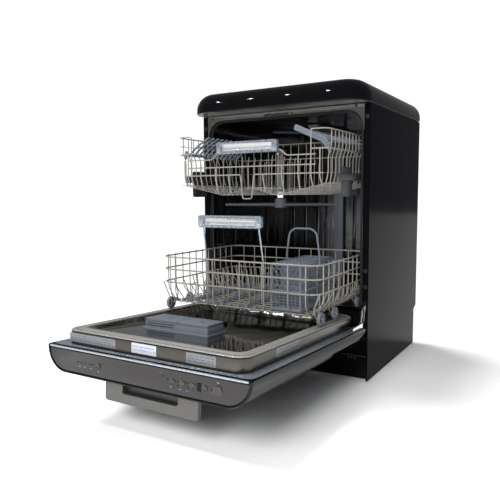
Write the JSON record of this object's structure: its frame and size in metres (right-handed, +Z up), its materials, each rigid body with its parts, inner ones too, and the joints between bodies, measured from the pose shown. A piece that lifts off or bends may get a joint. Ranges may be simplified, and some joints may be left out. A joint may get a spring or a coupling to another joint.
{
  "type": "dishwasher",
  "caption": "Free-standing 60 cm dishwasher with a rounded lid, a drop-down front door, two roll-out wire racks, spray arms and a cutlery basket.",
  "frame": {"origin": "middle of the cabinet footprint, on the floor", "axes": "+Z up, +X to the right of a person facing the door, -Y out through the front"},
  "size_m": [0.6, 1.2399, 0.893],
  "materials": {
    "gloss_black": "gloss black lacquer",
    "black_sheet": "gloss black lacquered steel sheet",
    "stainless": "satin stainless steel",
    "tub_steel": "polished stainless steel",
    "fascia": "dark grey satin metallic",
    "silver": "silver-coated plastic, satin",
    "handle_grey": "warm grey satin",
    "chrome": "bright",
    "zinc_steel": "zinc-coated steel, dull",
    "coated_wire": "cream-grey nylon-coated wire",
    "grey_plastic": "blue-grey moulded polypropylene",
    "pale_plastic": "pale grey moulded polypropylene",
    "dark_plastic": "black moulded plastic",
    "rubber": "matt black rubber",
    "ballast": "rough cast"
  },
  "bodies": {
    "cabinet": {"base_tray": "dark_plastic", "kick_plate": "gloss_black", "left_side_panel": "black_sheet", "right_side_panel": "black_sheet", "back_panel": "zinc_steel", "tub": "tub_steel", "front_crossbar": "stainless", "top_lid": "gloss_black", "lid_base": "dark_plastic", "tub_gasket": "rubber", "hinge_bracket_left": "zinc_steel", "hinge_bracket_right": "zinc_steel", "sump": "dark_plastic", "circulation_pump": "zinc_steel", "drain_pump": "dark_plastic", "inlet_valve": "pale_plastic", "counterweight": "ballast", "feed_duct": "grey_plastic", "upper_rail_left": "zinc_steel", "upper_rail_right": "zinc_steel", "door_lock": "dark_plastic", "foot_1": "rubber", "foot_2": "rubber", "foot_3": "rubber", "foot_4": "rubber", "water_tank": "pale_plastic"},
    "filter": {"filter_basket": "grey_plastic"},
    "salt_cap": {"salt_cap": "pale_plastic"},
    "door": {"outer_door_skin": "black_sheet", "inner_door_panel": "stainless", "control_panel": "fascia", "door_handle": "handle_grey", "hinge_arm_left": "chrome", "hinge_arm_right": "chrome", "dispenser_body": "grey_plastic"},
    "detergent_lid": {"detergent_lid": "grey_plastic"},
    "rinse_aid_lid": {"rinse_aid_lid": "grey_plastic"},
    "lower_spray_arm": {"lower_spray_arm": "pale_plastic"},
    "ceiling_spray_arm": {"ceiling_spray_arm": "pale_plastic"},
    "rail_slides": {"rail_slide_left": "grey_plastic", "rail_slide_right": "grey_plastic"},
    "upper_rack": {"upper_rack": "coated_wire", "upper_rack_handle": "silver"},
    "cup_shelf_left": {"cup_shelf_left": "grey_plastic"},
    "cup_shelf_right": {"cup_shelf_right": "grey_plastic"},
    "middle_spray_arm": {"middle_spray_arm": "pale_plastic"},
    "wheel_carriage": {"front_wheel_left": "grey_plastic", "front_wheel_right": "grey_plastic"},
    "lower_rack": {"lower_rack": "coated_wire", "lower_rack_handle": "silver", "cutlery_basket": "grey_plastic"},
    "basket_handle": {"basket_handle": "grey_plastic"},
    "rear_wheel_left": {"rear_wheel_left": "grey_plastic"},
    "rear_wheel_right": {"rear_wheel_right": "grey_plastic"},
    "power_button": {"power_button": "silver"},
    "button_program": {"button_program": "silver"},
    "button_option": {"button_option": "silver"},
    "button_delay": {"button_delay": "silver"},
    "button_start": {"button_start": "silver"},
    "button_half_load": {"button_half_load": "silver"}
  },
  "joints": [
    {"name": "door_hinge", "type": "hinge", "parent": "cabinet", "child": "door", "pos_m": [0, -0.29, 0.1575], "axis": [1, 0, 0], "range_deg": [-87.2, 0]},
    {"name": "upper_rail_travel", "type": "slide", "parent": "cabinet", "child": "rail_slides", "axis": [0, 1, 0], "range_m": [0, 0.291]},
    {"name": "upper_rack_pull", "type": "slide", "parent": "rail_slides", "child": "upper_rack", "axis": [0, -1, 0], "range_m": [0, 0.12]},
    {"name": "wheel_roll_in", "type": "slide", "parent": "door", "child": "wheel_carriage", "axis": [0, 0.9847, 0.174], "range_m": [0, 0.1626]},
    {"name": "lower_rack_level", "type": "hinge", "parent": "wheel_carriage", "child": "lower_rack", "pos_m": [0, -0.523, 0.236], "axis": [1, 0, 0], "range_deg": [0, 87.3]},
    {"name": "detergent_lid_hinge", "type": "hinge", "parent": "door", "child": "detergent_lid", "pos_m": [-0.143, -0.7243, 0.24382], "axis": [0, -0.9988, 0.0488], "range_deg": [0, 100]},
    {"name": "rinse_aid_lid_hinge", "type": "hinge", "parent": "door", "child": "rinse_aid_lid", "pos_m": [0.052, -0.7243, 0.24382], "axis": [0, 0.9988, -0.0488], "range_deg": [0, 100]},
    {"name": "power_button_press", "type": "slide", "parent": "door", "child": "power_button", "axis": [0, 0.9988, -0.0488], "range_m": [0, 0.002], "stiffness_N_per_m": 400},
    {"name": "button_program_press", "type": "slide", "parent": "door", "child": "button_program", "axis": [0, 0.9988, -0.0488], "range_m": [0, 0.002], "stiffness_N_per_m": 400},
    {"name": "button_option_press", "type": "slide", "parent": "door", "child": "button_option", "axis": [0, 0.9988, -0.0488], "range_m": [0, 0.002], "stiffness_N_per_m": 400},
    {"name": "button_delay_press", "type": "slide", "parent": "door", "child": "button_delay", "axis": [0, 0.9988, -0.0488], "range_m": [0, 0.002], "stiffness_N_per_m": 400},
    {"name": "button_start_press", "type": "slide", "parent": "door", "child": "button_start", "axis": [0, 0.9988, -0.0488], "range_m": [0, 0.002], "stiffness_N_per_m": 400},
    {"name": "button_half_load_press", "type": "slide", "parent": "door", "child": "button_half_load", "axis": [0, 0.9988, -0.0488], "range_m": [0, 0.002], "stiffness_N_per_m": 400},
    {"name": "lower_spray_spin", "type": "hinge", "parent": "cabinet", "child": "lower_spray_arm", "pos_m": [0, -0.014, 0.228], "axis": [0, 0, 1], "continuous": true},
    {"name": "ceiling_spray_spin", "type": "hinge", "parent": "cabinet", "child": "ceiling_spray_arm", "pos_m": [0, -0.014, 0.781], "axis": [0, 0, 1], "continuous": true},
    {"name": "middle_spray_spin", "type": "hinge", "parent": "upper_rack", "child": "middle_spray_arm", "pos_m": [0, -0.272, 0.532], "axis": [0, 0, 1], "continuous": true},
    {"name": "cup_shelf_left_fold", "type": "hinge", "parent": "upper_rack", "child": "cup_shelf_left", "pos_m": [-0.236, -0.306, 0.69], "axis": [0, -1, 0], "range_deg": [0, 60]},
    {"name": "cup_shelf_right_fold", "type": "hinge", "parent": "upper_rack", "child": "cup_shelf_right", "pos_m": [0.236, -0.285, 0.69], "axis": [0, 1, 0], "range_deg": [0, 30]},
    {"name": "basket_handle_fold", "type": "hinge", "parent": "lower_rack", "child": "basket_handle", "pos_m": [0.152, -0.427, 0.372], "axis": [1, 0, 0], "range_deg": [-70, 70]},
    {"name": "rear_wheel_left_spin", "type": "hinge", "parent": "lower_rack", "child": "rear_wheel_left", "pos_m": [-0.25, -0.17, 0.236], "axis": [1, 0, 0], "continuous": true},
    {"name": "rear_wheel_right_spin", "type": "hinge", "parent": "lower_rack", "child": "rear_wheel_right", "pos_m": [0.25, -0.17, 0.236], "axis": [1, 0, 0], "continuous": true},
    {"name": "filter_twist", "type": "hinge", "parent": "cabinet", "child": "filter", "pos_m": [0, -0.014, 0.17], "axis": [0, 0, 1], "range_deg": [0, 90]},
    {"name": "salt_cap_twist", "type": "hinge", "parent": "cabinet", "child": "salt_cap", "pos_m": [-0.15, 0.074, 0.208], "axis": [0, 0, 1], "range_deg": [0, 170]}
  ],
  "couplings": [
    {"joint": "upper_rail_travel", "follows": "door_hinge", "m_per_rad": -0.19055},
    {"joint": "wheel_roll_in", "follows": "door_hinge", "m_per_rad": -0.10651},
    {"joint": "lower_rack_level", "follows": "door_hinge", "ratio": -1}
  ]
}
